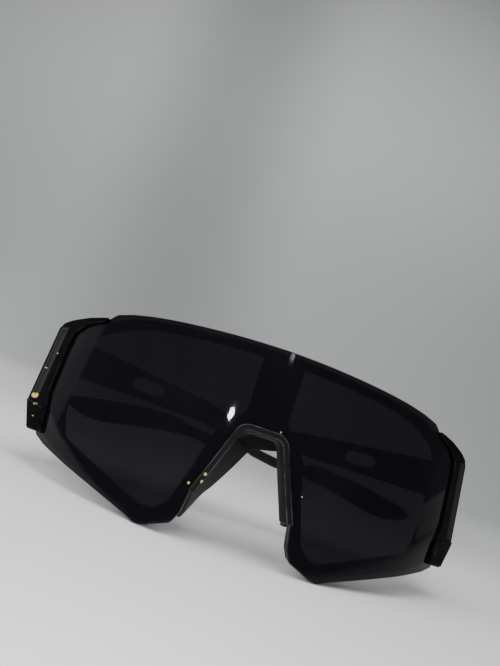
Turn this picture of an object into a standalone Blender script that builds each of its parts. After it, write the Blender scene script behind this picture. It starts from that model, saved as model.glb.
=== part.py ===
"""Wraparound shield sunglasses: one tinted lens over a full rim, with folding arms."""

import bmesh
import bpy
from math import asin, cos, pi, radians, sin, sqrt, tan
from mathutils import Matrix, Vector

# Driving sizes in metres. The front is drawn as seen from in front, then bent round a cylinder.
# x is across the face, y goes back towards the wearer, z goes up from the lens's lowest corners.

# Lens
lens_radius = 0.0920
lens_half_width = 0.0686
lens_height = 0.0559
lens_thickness = 0.0018
lens_corner_round = 0.0012
lens_lobe_round = 0.0020
bridge_round = 0.0038

# Rim behind the lens
fit_gap = 0.0003
rim_thickness = 0.0030
rim_inset = 0.0006
window_round = 0.0030
window_inner_round = 0.0010

# Side rails that clip over the ends of lens and rim
rail_overhang = 0.0047
rail_proud = 0.0010
rail_back_lip = 0.0015
rail_corner_round = 0.0020
rail_rear_trim = 0.0002
rail_groove_width = 0.0024
rail_groove_depth = 0.0006
rail_groove_top = 0.0464
rail_groove_bottom = 0.0230
rail_groove_inset = 0.0029
rail_block_height = 0.0088
rail_block_proud = 0.0005
rail_block_sunk = 0.0004

# Hinges
hinge_inset = 0.0049
hinge_height = 0.0405
hinge_pin_radius = 0.00070
hinge_bore_radius = 0.00095
barrel_radius = 0.0016
barrel_relief = 0.0003
knuckle_height = 0.0028
leaf_thickness = 0.0010
front_leaf_depth = 0.0032
front_leaf_web = 0.0020
temple_leaf_length = 0.0105
temple_leaf_web = 0.0022
screw_head_radius = 0.0013
screw_head_height = 0.0007
screw_slot_width = 0.0004
screw_slot_depth = 0.0003
screw_tail = 0.0005
rivet_radius = 0.00045
rivet_hole_radius = 0.00075
rivet_head_radius = 0.0009
rivet_head_height = 0.0004
rivet_spacing = 0.0034
rivet_setback = 0.0042
rivet_depth = 0.0021

# Temples, the two folding arms
temple_length = 0.1310
temple_height = 0.0127
temple_thickness = 0.0030
temple_offset = 0.0018
temple_bow = 0.0030
temple_bow_start = 0.0650
temple_edge_round = 0.0010
slot_length = 0.0112
slot_height = 0.0043
slot_setback = 0.0295
slot_rise = -0.0020
sleeve_wall = 0.0009
sleeve_thickness = 0.0038
tongue_root = 0.00475

# Nose piece and pads
nose_wall = 0.0010
nose_front_lip = 0.0004
nose_lip_reach = 0.0003
nose_rear_rib = 0.0008
nose_rib_reach = 0.0009
nose_depth = 0.0085
nose_leg_depth = 0.0065
nose_leg_end = 0.0118
pad_thickness = 0.0015
pad_depth = 0.0155
pad_drop = 0.00265
pad_foot_left = 0.0042
pad_foot_right = 0.0105

# How it stands: tilted back until lens corners and opened temple ends share one table top
stance_lean = radians(8.2)
# The left temple lies over the right one, so it stops a little short of flat.
fold_right = radians(90.0)
fold_left = radians(86.0)

# Shares of the lens's half width and height, from the middle of the brow round to the nose.
lens_outline_shares = [
    (0.000, 1.000), (0.204, 0.997), (0.350, 0.993), (0.490, 0.989), (0.598, 0.984),
    (0.692, 0.975), (0.768, 0.961), (0.797, 0.933), (0.803, 0.917), (0.904, 0.889),
    (0.978, 0.855), (1.000, 0.828), (1.000, 0.438), (0.985, 0.340), (0.958, 0.259),
    (0.932, 0.216), (0.872, 0.184), (0.736, 0.134), (0.598, 0.088), (0.481, 0.047),
    (0.398, 0.016), (0.364, 0.000), (0.332, 0.006), (0.236, 0.052), (0.213, 0.107),
    (0.200, 0.220), (0.144, 0.406), (0.093, 0.584), (0.000, 0.584),
]
lens_round_corners = {6: lens_corner_round, 11: lens_corner_round, 15: lens_corner_round,
                      21: lens_lobe_round, 23: lens_lobe_round, 27: bridge_round}

# Shares of the same sizes: the opening in front of the right eye, round from its inner top.
window_outline_shares = [
    (0.093, 0.949), (0.350, 0.944), (0.554, 0.936), (0.685, 0.918), (0.765, 0.894),
    (0.868, 0.855), (0.918, 0.800), (0.923, 0.560), (0.900, 0.385), (0.838, 0.255),
    (0.615, 0.168), (0.390, 0.078), (0.322, 0.084), (0.277, 0.140), (0.236, 0.300),
    (0.190, 0.515), (0.090, 0.652),
]
window_round_corners = {0: window_inner_round, 6: window_round, 9: window_round, 11: window_round,
                        12: window_round, 16: window_round}

# Shares of the rail's half width and the lens's height, from the brow step round the rail.
rail_outline_shares = [
    (0.7500, 0.9290), (0.8340, 0.9180), (0.9300, 0.8960), (0.9800, 0.8780), (1.0000, 0.8450),
    (1.0000, 0.3850), (0.9200, 0.2330), (0.8370, 0.2330), (0.8640, 0.3600), (0.8880, 0.4560),
    (0.8960, 0.7070), (0.8910, 0.8160), (0.8440, 0.8710), (0.7540, 0.9050),
]
rail_reach_share = 0.65
rail_round_corners = {4: rail_corner_round, 12: rail_corner_round}

# Shares of the temple's length and height, measured from the hinge: upper then lower edge.
temple_top_shares = [(0.206, 0.236), (0.382, 0.024), (0.430, -0.060), (0.500, -0.380),
                     (0.538, -0.580), (0.565, -0.780), (0.613, -0.840), (0.702, -0.770)]
temple_bottom_shares = [(0.702, -1.070), (0.613, -1.100), (0.545, -1.000), (0.500, -0.820),
                        (0.455, -0.720), (0.400, -0.560), (0.206, -0.528)]
temple_end_top_share = 0.488
temple_end_bottom_share = -0.512
sleeve_top_shares = [(0.702, -0.700), (0.748, -0.680), (0.824, -0.740), (0.916, -0.880),
                     (0.975, -1.010)]
sleeve_tip_shares = [(1.000, -1.140), (0.992, -1.270)]
sleeve_bottom_shares = [(0.962, -1.400), (0.931, -1.450), (0.893, -1.430), (0.824, -1.280),
                        (0.748, -1.140), (0.702, -1.100)]
tongue_end_half_share = 0.085
tongue_centre_shares = [(0.702, -0.890), (0.838, -1.035)]

# How far each pad leans in over the notch, from its top down, as shares of its depth.
pad_lean_left_shares = [0.45, 0.37, 0.28, 0.18, 0.04, -0.09]
pad_lean_right_shares = [-0.20, -0.22, -0.24, -0.26, -0.28, -0.30]

# The hinge leaf's web stands back from the plate's faces by this share of its thickness.
leaf_web_step_share = 0.08
knuckle_count = 3

# How finely curves are cut
bend_step = radians(3.5)
bow_cut_shares = [0.55, 0.62, 0.69, 0.76, 0.83, 0.90, 0.95]
corner_steps = 4
round_sides = 24
cut_overrun = 0.0010

# Depths behind the lens's face, and places that follow from the sizes above
back_of_lens = lens_thickness + fit_gap
back_of_rim = back_of_lens + rim_thickness
rail_depth = back_of_rim + fit_gap + rail_back_lip
rail_half_width = lens_half_width + rail_overhang
rail_end_depth = lens_radius - sqrt(lens_radius ** 2 - rail_half_width ** 2)
rail_rear_depth = rail_end_depth - rail_rear_trim
hinge_depth = rail_rear_depth + fit_gap
hinge_inboard = rail_half_width - hinge_inset


def material(name, colour, roughness, metallic=0.0, alpha=1.0):
    made = bpy.data.materials.new(name)
    made.use_nodes = True
    shader = made.node_tree.nodes["Principled BSDF"]
    shader.inputs["Base Color"].default_value = (*colour, 1.0)
    shader.inputs["Roughness"].default_value = roughness
    shader.inputs["Metallic"].default_value = metallic
    shader.inputs["Alpha"].default_value = alpha
    made.diffuse_color = (*colour, 1.0)
    return made


def rounded(corners, radii):
    """The closed outline with an arc in place of each corner that has a radius."""
    outline = []
    for index, corner in enumerate(corners):
        here = Vector(corner)
        radius = radii.get(index, 0)
        if not radius:
            outline.append(here)
            continue
        back = Vector(corners[index - 1]) - here
        ahead = Vector(corners[(index + 1) % len(corners)]) - here
        half = back.angle(ahead) / 2
        reach = min(radius / tan(half), back.length / 2, ahead.length / 2)
        back.normalize()
        ahead.normalize()
        arc = reach * tan(half)
        centre = here + (back + ahead).normalized() * arc / sin(half)
        first = here + back * reach - centre
        last = here + ahead * reach - centre
        for step in range(corner_steps + 1):
            part = step / corner_steps
            spoke = first.lerp(last, part).normalized() * arc
            outline.append(centre + spoke)
    return outline


def offset(outline, distance):
    """The closed outline moved outwards; a negative distance moves it in."""
    turn = sum(a.cross(b) for a, b in zip(outline, outline[1:] + outline[:1]))
    side = 1 if turn > 0 else -1
    moved = []
    for index, here in enumerate(outline):
        before = (here - outline[index - 1]).normalized()
        after = (outline[(index + 1) % len(outline)] - here).normalized()
        normal_before = Vector((before.y, -before.x)) * side
        normal_after = Vector((after.y, -after.x)) * side
        middle = (normal_before + normal_after).normalized()
        moved.append(here + middle * distance / max(middle.dot(normal_after), 1 / 2))
    return moved


def shares_to_outline(shares, width, height, round_corners):
    return rounded([(x * width, z * height) for x, z in shares], round_corners)


def mirrored(outline):
    return [Vector((-point.x, point.y)) for point in reversed(outline)]


def whole_front(half):
    """Both halves of an outline that starts and ends on the middle line."""
    return half + [Vector((-point.x, point.y)) for point in reversed(half) if point.x > 0]


def bend(x, z, depth):
    """A point of the front: as seen from in front, and how far it lies behind the lens's face."""
    angle = asin(max(-1, min(1, x / lens_radius)))
    radius = lens_radius - depth
    return Vector((radius * sin(angle), lens_radius - radius * cos(angle), z))


def mesh_object(name, bm, parent, look=None):
    """An object with its faces turned outwards. Without a look it is a hidden helper."""
    bmesh.ops.triangulate(bm, faces=[face for face in bm.faces if len(face.verts) > 3])
    bmesh.ops.recalc_face_normals(bm, faces=bm.faces[:])
    if bm.calc_volume(signed=True) < 0:
        bmesh.ops.reverse_faces(bm, faces=bm.faces[:])
    mesh = bpy.data.meshes.new(name)
    bm.to_mesh(mesh)
    bm.free()
    made = bpy.data.objects.new(name, mesh)
    bpy.context.scene.collection.objects.link(made)
    made.parent = parent
    if look:
        mesh.materials.append(look)
    else:
        made.hide_render = True
        made.display_type = "WIRE"
    return made


def filled(outline, holes, thickness):
    """A flat plate in x and y with its holes, as thick as asked along z."""
    bm = bmesh.new()
    for loop in [outline, *holes]:
        points = [bm.verts.new((point.x, point.y, 0)) for point in loop]
        for index, point in enumerate(points):
            bm.edges.new((points[index - 1], point))
    bmesh.ops.triangle_fill(bm, use_beauty=True, edges=bm.edges[:])
    top = bmesh.ops.extrude_face_region(bm, geom=bm.faces[:])["geom"]
    moved = [item for item in top if isinstance(item, bmesh.types.BMVert)]
    bmesh.ops.translate(bm, verts=moved, vec=(0, 0, thickness))
    return bm


def bent_plate(name, outline, holes, front, back, parent, look=None, rear=None):
    """A plate between two depths behind the lens's face, bent round the front's cylinder.

    With rear, it is cut off flat there. A helper's bends lie between those of what it cuts."""
    bm = filled(outline, holes, back - front)
    reach = max(abs(point.x) for point in outline)
    steps = int(asin(min(1, reach / lens_radius)) / bend_step) + 1
    shift = 0 if look else bend_step / 2
    for step in range(-steps, steps + 1):
        place = (lens_radius * sin(step * bend_step + shift), 0, 0)
        everything = bm.verts[:] + bm.edges[:] + bm.faces[:]
        bmesh.ops.bisect_plane(bm, geom=everything, plane_co=place, plane_no=(1, 0, 0))
    for point in bm.verts:
        point.co = bend(point.co.x, point.co.y, front + point.co.z)
    if rear:
        cut_flat(bm, rear)
    return mesh_object(name, bm, parent, look)


def cut_flat(bm, rear):
    """Takes away all that lies behind a depth and closes the cut with a flat face."""
    bmesh.ops.triangulate(bm, faces=bm.faces[:])
    everything = bm.verts[:] + bm.edges[:] + bm.faces[:]
    found = bmesh.ops.bisect_plane(bm, geom=everything, plane_co=(0, rear, 0),
                                   plane_no=(0, 1, 0), clear_outer=True)
    rim = [item for item in found["geom_cut"] if isinstance(item, bmesh.types.BMEdge)]
    bmesh.ops.edgeloop_fill(bm, edges=rim)


def end_of(outline, side, reach):
    """The part of an outline that lies beyond a distance to one side."""
    return [point for point in outline if side * point.x > reach]


def box(name, low, high, parent, look=None):
    bm = bmesh.new()
    bmesh.ops.create_cube(bm, size=1)
    size = Vector(high) - Vector(low)
    middle = (Vector(high) + Vector(low)) / 2
    bmesh.ops.scale(bm, verts=bm.verts[:], vec=size)
    bmesh.ops.translate(bm, verts=bm.verts[:], vec=middle)
    return mesh_object(name, bm, parent, look)


def rod(name, radius, start, end, parent, look=None):
    """A round bar from one point to another."""
    bm = bmesh.new()
    along = Vector(end) - Vector(start)
    turn = along.to_track_quat("Z", "Y").to_matrix().to_4x4()
    place = Matrix.Translation((Vector(start) + Vector(end)) / 2) @ turn
    bmesh.ops.create_cone(bm, cap_ends=True, segments=round_sides, radius1=radius,
                          radius2=radius, depth=along.length, matrix=place)
    return mesh_object(name, bm, parent, look)


def boolean(target, other, operation):
    modifier = target.modifiers.new(other.name, "BOOLEAN")
    modifier.operation = operation
    modifier.object = other
    return target


def cut(target, *others):
    for other in others:
        boolean(target, other, "DIFFERENCE")


def add(target, *others):
    for other in others:
        boolean(target, other, "UNION")


def lens_outline():
    half = shares_to_outline(lens_outline_shares, lens_half_width, lens_height,
                             lens_round_corners)
    return whole_front(half)


def make_lens(front, look):
    return bent_plate("shield_lens", lens_outline(), [], 0, lens_thickness, front, look)


def make_rim(front, look):
    window = shares_to_outline(window_outline_shares, lens_half_width, lens_height,
                               window_round_corners)
    outline = offset(lens_outline(), -rim_inset)
    return bent_plate("front_rim", outline, [window, mirrored(window)], back_of_lens,
                      back_of_rim, front, look)


def make_rail(side, front, look):
    """One end piece: it clips over lens and rim, and its flat back carries the hinge."""
    half = shares_to_outline(rail_outline_shares, rail_half_width, lens_height,
                             rail_round_corners)
    outline = half if side > 0 else mirrored(half)
    word = "right" if side > 0 else "left"
    rail = bent_plate(f"side_rail_{word}", outline, [], -rail_proud, rail_depth, front, look,
                      rear=rail_rear_depth)
    add(rail, rail_block(outline, word, front))
    end = end_of(offset(lens_outline(), fit_gap), side, lens_half_width * rail_reach_share)
    channel = bent_plate(f"rail_channel_{word}", end, [], -fit_gap, back_of_rim + fit_gap,
                         front)
    cut(rail, channel)
    cut(rail, rail_groove(side, word, front))
    cut(rail, *hinge_pockets(side, word, front))
    return rail


def rail_groove(side, word, front):
    """The shallow groove down the face of the rail."""
    outer = side * (rail_half_width - rail_groove_inset + rail_groove_width / 2)
    inner = side * (rail_half_width - rail_groove_inset - rail_groove_width / 2)
    corners = [Vector((inner, rail_groove_bottom)), Vector((outer, rail_groove_bottom)),
               Vector((outer, rail_groove_top)), Vector((inner, rail_groove_top))]
    return bent_plate(f"rail_groove_{word}", corners, [], -rail_proud - cut_overrun,
                      rail_groove_depth - rail_proud, front)


def rail_block(outline, word, front):
    """The thicker block at the lower end of the rail."""
    foot = min(point.y for point in outline)
    low = [point for point in offset(outline, -rail_block_sunk)
           if point.y < foot + rail_block_height]
    return bent_plate(f"rail_block_{word}", low, [], -rail_proud - rail_block_proud,
                      lens_thickness, front)


def hinge_pockets(side, word, front):
    """Room in the rail for the hinge barrel and for the front leaf's plate."""
    centre = side * hinge_inboard
    half_stack = hinge_stack_height() / 2
    relief_half = half_stack + fit_gap * 2 + screw_head_height
    relief = rod(f"barrel_relief_{word}", barrel_radius + barrel_relief,
                 (centre, hinge_depth, hinge_height - relief_half),
                 (centre, hinge_depth, hinge_height + relief_half), front)
    half_plate = leaf_thickness / 2 + fit_gap
    plate = box(f"leaf_pocket_{word}",
                (centre - half_plate, hinge_depth - front_leaf_depth - fit_gap,
                 hinge_height - half_stack - fit_gap),
                (centre + half_plate, hinge_depth + cut_overrun,
                 hinge_height + half_stack + fit_gap), front)
    return relief, plate


def hinge_stack_height():
    """Three knuckles and the two gaps between them."""
    return knuckle_height * knuckle_count + fit_gap * (knuckle_count - 1)


def make_front_leaf(side, front, look):
    """The hinge half in the rail: a plate with an upper and a lower knuckle."""
    word = "right" if side > 0 else "left"
    centre = side * hinge_inboard
    half = hinge_stack_height() / 2
    low = hinge_height - half
    high = hinge_height + half
    leaf = rod(f"hinge_front_leaf_{word}", barrel_radius, (centre, hinge_depth, low),
               (centre, hinge_depth, high), front, look)
    step = leaf_thickness * leaf_web_step_share
    plate = box(f"front_leaf_plate_{word}",
                (centre - leaf_thickness / 2, hinge_depth - front_leaf_depth, low + step),
                (centre + leaf_thickness / 2, hinge_depth - hinge_bore_radius, high - step),
                front)
    middle = knuckle_height / 2 + fit_gap
    gap = box(f"front_leaf_gap_{word}",
              (centre - barrel_radius * 2, hinge_depth - front_leaf_web,
               hinge_height - middle),
              (centre + barrel_radius * 2, hinge_depth + barrel_radius * 2,
               hinge_height + middle), front)
    bore = rod(f"front_leaf_bore_{word}", hinge_bore_radius,
               (centre, hinge_depth, low - cut_overrun),
               (centre, hinge_depth, high + cut_overrun), front)
    add(leaf, plate)
    cut(leaf, gap, bore)
    return leaf


def make_screw(side, front, look):
    """The slotted screw that pins the three knuckles together."""
    word = "right" if side > 0 else "left"
    centre = side * hinge_inboard
    half = hinge_stack_height() / 2
    seat = hinge_height + half + fit_gap
    top = seat + screw_head_height
    screw = rod(f"hinge_screw_{word}", screw_head_radius, (centre, hinge_depth, seat),
                (centre, hinge_depth, top), front, look)
    shaft = rod(f"screw_shaft_{word}", hinge_pin_radius,
                (centre, hinge_depth, hinge_height - half - screw_tail),
                (centre, hinge_depth, top - screw_slot_depth), front)
    slot = box(f"screw_slot_{word}",
               (centre - screw_head_radius * 2, hinge_depth - screw_slot_width / 2,
                top - screw_slot_depth),
               (centre + screw_head_radius * 2, hinge_depth + screw_slot_width / 2,
                top + cut_overrun), front)
    add(screw, shaft)
    cut(screw, slot)
    return screw


def temple_points(shares):
    return [Vector((along * temple_length, up * temple_height)) for along, up in shares]


def temple_outline():
    """The arm up to its sleeve, seen from the side: the hinge is on the left."""
    start = fit_gap
    top = Vector((start, temple_end_top_share * temple_height))
    bottom = Vector((start, temple_end_bottom_share * temple_height))
    return [bottom, top, *temple_points(temple_top_shares),
            *temple_points(temple_bottom_shares)]


def sleeve_outline():
    return [*temple_points(sleeve_top_shares), *temple_points(sleeve_tip_shares),
            *temple_points(sleeve_bottom_shares)]


def slot_outline():
    """The oblong window in the arm: a straight middle and two round ends."""
    radius = slot_height / 2
    run = slot_length / 2 - radius
    fall = (temple_top_shares[0][1] - temple_end_top_share) * temple_height / 2
    tilt = fall / (temple_top_shares[0][0] * temple_length)
    points = []
    for end in (1, -1):
        for step in range(corner_steps * 2 + 1):
            angle = pi * (step / (corner_steps * 2) - 1 / 2)
            along = end * (run + radius * cos(angle))
            up = end * radius * sin(angle)
            points.append(Vector((slot_setback + along, slot_rise + up + along * tilt)))
    return points


def tongue_outline(grow):
    """The thin end of the arm that fills the sleeve, larger by grow all round."""
    start, end = temple_points(tongue_centre_shares)
    half = tongue_end_half_share * temple_height + grow
    root = Vector((tongue_root, 0))
    across = (end - start).normalized()
    up = Vector((-across.y, across.x)) * half
    far = across * grow
    return [start - root - up, end + far - up, end + far + up, start - root + up]


def arm_plate(name, outline, holes, thickness, side, pivot, look=None):
    """A plate of the arm, as it lies when open: bowed in towards its tip."""
    bm = filled(outline, holes, thickness)
    inner = temple_offset + (temple_thickness - thickness) / 2
    first = min(point.x for point in outline)
    last = max(point.x for point in outline)
    for share in bow_cut_shares:
        place = temple_length * share
        if first < place < last:
            everything = bm.verts[:] + bm.edges[:] + bm.faces[:]
            bmesh.ops.bisect_plane(bm, geom=everything, plane_co=(place, 0, 0),
                                   plane_no=(1, 0, 0))
    for point in bm.verts:
        along, up, out = point.co
        bow = max(0, (along - temple_bow_start) / (temple_length - temple_bow_start))
        point.co = Vector((side * (inner + out - temple_bow * bow ** 2), along, up))
    return mesh_object(name, bm, pivot, look)


def make_temple(side, pivot, look):
    word = "right" if side > 0 else "left"
    outline = rounded(temple_outline(), {0: temple_edge_round, 1: temple_edge_round})
    temple = arm_plate(f"temple_{word}", outline, [slot_outline()], temple_thickness, side,
                       pivot, look)
    tongue = arm_plate(f"temple_tongue_{word}", tongue_outline(0), [],
                       sleeve_thickness - (sleeve_wall + fit_gap) * 2, side, pivot)
    add(temple, tongue)
    cut(temple, *rivet_holes(side, word, pivot))
    return temple


def make_sleeve(side, pivot, look):
    """The soft sleeve over the end of the arm, behind the wearer's ear."""
    word = "right" if side > 0 else "left"
    outline = sleeve_outline()
    for point in outline:
        point.x = max(point.x, temple_length * temple_top_shares[-1][0] + fit_gap)
    sleeve = arm_plate(f"temple_sleeve_{word}", outline, [], sleeve_thickness, side, pivot,
                       look)
    socket = arm_plate(f"sleeve_socket_{word}", tongue_outline(fit_gap), [],
                       sleeve_thickness - sleeve_wall * 2, side, pivot)
    cut(sleeve, socket)
    return sleeve


def rivet_places():
    return [rivet_setback, rivet_setback + rivet_spacing]


def rivet_holes(side, word, pivot):
    """Blind holes in the inner face of the arm, one for each rivet."""
    holes = []
    for number, along in enumerate(rivet_places()):
        holes.append(rod(f"rivet_hole_{word}_{number}", rivet_hole_radius,
                         (side * (temple_offset - cut_overrun), along, 0),
                         (side * (temple_offset + rivet_depth + fit_gap), along, 0), pivot))
    return holes


def make_temple_leaf(side, pivot, look):
    """The hinge half on the arm: one knuckle and a plate riveted to the inner face."""
    word = "right" if side > 0 else "left"
    half = hinge_stack_height() / 2
    middle = knuckle_height / 2
    outer = temple_offset - fit_gap
    inner = outer - leaf_thickness
    leaf = rod(f"hinge_temple_leaf_{word}", barrel_radius, (0, 0, -middle), (0, 0, middle),
               pivot, look)
    sides = sorted((side * inner, side * outer))
    plate = box(f"temple_leaf_plate_{word}", (sides[0], temple_leaf_web, -half),
                (sides[1], temple_leaf_length, half), pivot)
    step = leaf_thickness * leaf_web_step_share
    web = box(f"temple_leaf_web_{word}", (sides[0] + step, 0, -middle + step),
              (sides[1] - step, temple_leaf_web + fit_gap, middle - step), pivot)
    bore = rod(f"temple_leaf_bore_{word}", hinge_bore_radius,
               (0, 0, -middle - cut_overrun), (0, 0, middle + cut_overrun), pivot)
    add(leaf, web, plate)
    cut(leaf, bore)
    for number, along in enumerate(rivet_places()):
        cut(leaf, rod(f"leaf_hole_{word}_{number}", rivet_hole_radius,
                      (side * (inner - cut_overrun), along, 0),
                      (side * (outer + cut_overrun), along, 0), pivot))
    return leaf


def make_rivet(side, number, along, pivot, look):
    """A flat head and its shank, turned round the rivet's own line."""
    word = "right" if side > 0 else "left"
    head_seat = temple_offset - fit_gap * 2 - leaf_thickness
    start = Vector((side * (head_seat - rivet_head_height), along, 0))
    shank_end = rivet_head_height + temple_offset + rivet_depth - head_seat
    profile = [(0, 0), (0, rivet_head_radius), (rivet_head_height, rivet_head_radius),
               (rivet_head_height, rivet_radius), (shank_end, rivet_radius), (shank_end, 0)]
    inward = Vector((side, 0, 0))
    across = Vector((0, 0, 1))
    bm = bmesh.new()
    points = [bm.verts.new(start + inward * run + across * out) for run, out in profile]
    edges = [bm.edges.new(pair) for pair in zip(points, points[1:])]
    bmesh.ops.spin(bm, geom=points + edges, cent=start, axis=inward, angle=2 * pi,
                   steps=round_sides, use_merge=True)
    bmesh.ops.remove_doubles(bm, verts=bm.verts[:], dist=rivet_radius / round_sides)
    return mesh_object(f"hinge_rivet_{word}_{number}", bm, pivot, look)


def notch_path(foot):
    """The middle of the brow down the right side of the nose notch, ending at a height."""
    half = shares_to_outline(lens_outline_shares, lens_half_width, lens_height,
                             lens_round_corners)
    path = []
    for point in reversed(half):
        if point.y > foot:
            path.append(point)
            continue
        before = path[-1]
        share = (before.y - foot) / (before.y - point.y)
        path.append(before.lerp(point, share))
        break
    return path


def path_normals(path):
    """For each point of the notch's right side, the way into the lens, away from the nose."""
    normals = []
    for index in range(len(path)):
        before = path[max(index - 1, 0)]
        after = path[min(index + 1, len(path) - 1)]
        run = (after - before).normalized()
        normals.append(Vector((-run.y, run.x)))
    normals[0] = Vector((0, 1))
    return normals


def swept(name, path, normals, sections, parent, look):
    """A bar along the path. Each section's points are (out from the notch edge, depth)."""
    bm = bmesh.new()
    rings = []
    for place, normal, section in zip(path, normals, sections):
        ring = []
        for out, depth in section:
            point = place + normal * out
            ring.append(bm.verts.new(bend(point.x, point.y, depth)))
        rings.append(ring)
    for first, second in zip(rings, rings[1:]):
        for index in range(len(first)):
            bm.faces.new((first[index - 1], first[index], second[index], second[index - 1]))
    bm.faces.new(rings[0])
    bm.faces.new(rings[-1])
    return mesh_object(name, bm, parent, look)


def make_nose_piece(front, look):
    """The saddle that lines the notch: lips in front of the lens and behind the rim."""
    right = notch_path(nose_leg_end)
    right_normals = path_normals(right)
    left = [Vector((-point.x, point.y)) for point in reversed(right[1:])]
    left_normals = [Vector((-way.x, way.y)) for way in reversed(right_normals[1:])]
    path = left + right
    top = right[0].y
    sections = []
    for point in path:
        part = (top - point.y) / (top - nose_leg_end)
        sections.append(nose_section(nose_depth + (nose_leg_depth - nose_depth) * part))
    return swept("nose_piece", path, left_normals + right_normals, sections, front, look)


def nose_section(depth):
    """The saddle's wall with its front lip and rear rib, as deep as asked."""
    rib = back_of_rim + fit_gap
    seat = -fit_gap
    face = seat - nose_front_lip
    return [(nose_lip_reach, face), (nose_lip_reach, seat), (seat, seat), (seat, rib),
            (nose_rib_reach, rib), (nose_rib_reach, rib + nose_rear_rib),
            (seat, rib + nose_rear_rib), (seat, depth), (seat - nose_wall, depth),
            (seat - nose_wall, face)]


def make_pad(side, leans, foot, front, look):
    """A soft wing behind the rim, hooked outside the nose piece's wall."""
    word = "right" if side > 0 else "left"
    bridge = lens_height * lens_outline_shares[-1][1]
    start = notch_path(bridge - pad_drop)[-1]
    count = len(leans)
    full = notch_path(foot)
    end = full[-1]
    path = []
    for step in range(count):
        height = start.y + (end.y - start.y) * step / (count - 1)
        path.append(point_at_height(full, height))
    normals = [Vector((side * way.x, way.y)) for way in path_normals(path)]
    normals[0] = normals[1]
    path = [Vector((side * point.x, point.y)) for point in path]
    near = back_of_rim + fit_gap * 2 + nose_rear_rib
    sections = []
    for lean_share in leans:
        lean = lean_share * pad_depth
        sections.append([(0, near), (pad_thickness, near), (pad_thickness - lean, pad_depth),
                         (-lean, pad_depth), (0, nose_depth + fit_gap)])
    return swept(f"nose_pad_{word}", path, normals, sections, front, look)


def point_at_height(path, height):
    for before, after in zip(path, path[1:]):
        if before.y >= height > after.y:
            share = (before.y - height) / (before.y - after.y)
            return before.lerp(after, share)
    return path[-1]


def empty(name, parent, location, turn):
    made = bpy.data.objects.new(name, None)
    bpy.context.scene.collection.objects.link(made)
    made.parent = parent
    made.location = location
    made.rotation_euler = turn
    return made


def smooth_round_pieces():
    for made in bpy.data.objects:
        if made.type == "MESH" and not made.hide_render:
            made.data.shade_smooth()
            made.data.set_sharp_from_angle(angle=radians(30))


def stand_on_table(front):
    """Moves the front so that the whole box stands centred on the origin, with its foot at 0."""
    bpy.context.view_layer.update()
    graph = bpy.context.evaluated_depsgraph_get()
    corners = []
    for made in bpy.data.objects:
        if made.type == "MESH" and not made.hide_render:
            ready = made.evaluated_get(graph)
            corners += [ready.matrix_world @ point.co for point in ready.data.vertices]
    low = [min(point[axis] for point in corners) for axis in range(3)]
    high = [max(point[axis] for point in corners) for axis in range(3)]
    front.location = (-(low[0] + high[0]) / 2, -(low[1] + high[1]) / 2, -low[2])
    bpy.context.view_layer.update()


def main():
    for old in list(bpy.data.objects):
        bpy.data.objects.remove(old)
    tint = material("lens_tint", (0.02, 0.022, 0.026), 0.08)
    gloss = material("gloss_black", (0.008, 0.008, 0.010), 0.18)
    rubber = material("soft_grey", (0.05, 0.05, 0.05), 0.55)
    sleeve = material("sleeve_rubber", (0.02, 0.02, 0.02), 0.6)
    steel = material("hinge_steel", (0.55, 0.55, 0.56), 0.3, metallic=1.0)
    front = empty("front", None, (0, 0, 0), (-stance_lean, 0, 0))
    make_lens(front, tint)
    make_rim(front, gloss)
    make_nose_piece(front, rubber)
    make_pad(-1, pad_lean_left_shares, pad_foot_left, front, rubber)
    make_pad(1, pad_lean_right_shares, pad_foot_right, front, rubber)
    for side, word, fold in ((-1, "left", fold_left), (1, "right", fold_right)):
        make_rail(side, front, gloss)
        make_front_leaf(side, front, steel)
        make_screw(side, front, steel)
        place = (side * hinge_inboard, hinge_depth, hinge_height)
        pivot = empty(f"hinge_{word}", front, place, (0, 0, side * fold))
        make_temple(side, pivot, gloss)
        make_sleeve(side, pivot, sleeve)
        make_temple_leaf(side, pivot, steel)
        for number, along in enumerate(rivet_places(), start=1):
            make_rivet(side, number, along, pivot, steel)
    smooth_round_pieces()
    stand_on_table(front)


main()
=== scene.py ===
"""The look of the wraparound shield sunglasses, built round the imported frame."""

from math import asin, atan2, cos, hypot, pi, radians, sin, tan

import bmesh
import bpy
from mathutils import Matrix, Vector


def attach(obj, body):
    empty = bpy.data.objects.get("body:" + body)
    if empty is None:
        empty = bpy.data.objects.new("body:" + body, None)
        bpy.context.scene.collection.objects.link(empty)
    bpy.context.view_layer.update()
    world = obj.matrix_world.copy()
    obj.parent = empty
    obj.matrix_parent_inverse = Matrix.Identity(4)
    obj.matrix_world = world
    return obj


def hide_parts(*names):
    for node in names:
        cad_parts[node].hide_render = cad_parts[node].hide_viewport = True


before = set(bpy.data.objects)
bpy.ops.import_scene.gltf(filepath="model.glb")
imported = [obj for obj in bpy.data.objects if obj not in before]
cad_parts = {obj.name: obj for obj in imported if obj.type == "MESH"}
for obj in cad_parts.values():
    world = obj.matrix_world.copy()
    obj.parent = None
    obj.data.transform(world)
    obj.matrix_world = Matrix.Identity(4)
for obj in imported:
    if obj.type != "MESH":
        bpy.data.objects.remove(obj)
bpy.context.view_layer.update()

# Sizes in metres, as in the solids. The front is drawn flat, as seen from in front, with x
# across and y up from the lens's lowest corners. It is then bent round a cylinder and leaned
# back. Side -1 is the viewer's left and side 1 the right.
LENS_RADIUS = 0.0920
LENS_HALF_WIDTH = 0.0686
LENS_HEIGHT = 0.0559
LENS_THICKNESS = 0.0018
FIT_GAP = 0.0003
RIM_THICKNESS = 0.0030
RIM_INSET = 0.0006
RAIL_HALF_WIDTH = 0.0733
HINGE_INBOARD = 0.0684
HINGE_HEIGHT = 0.0405
HINGE_DEPTH = 0.0365022
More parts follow.
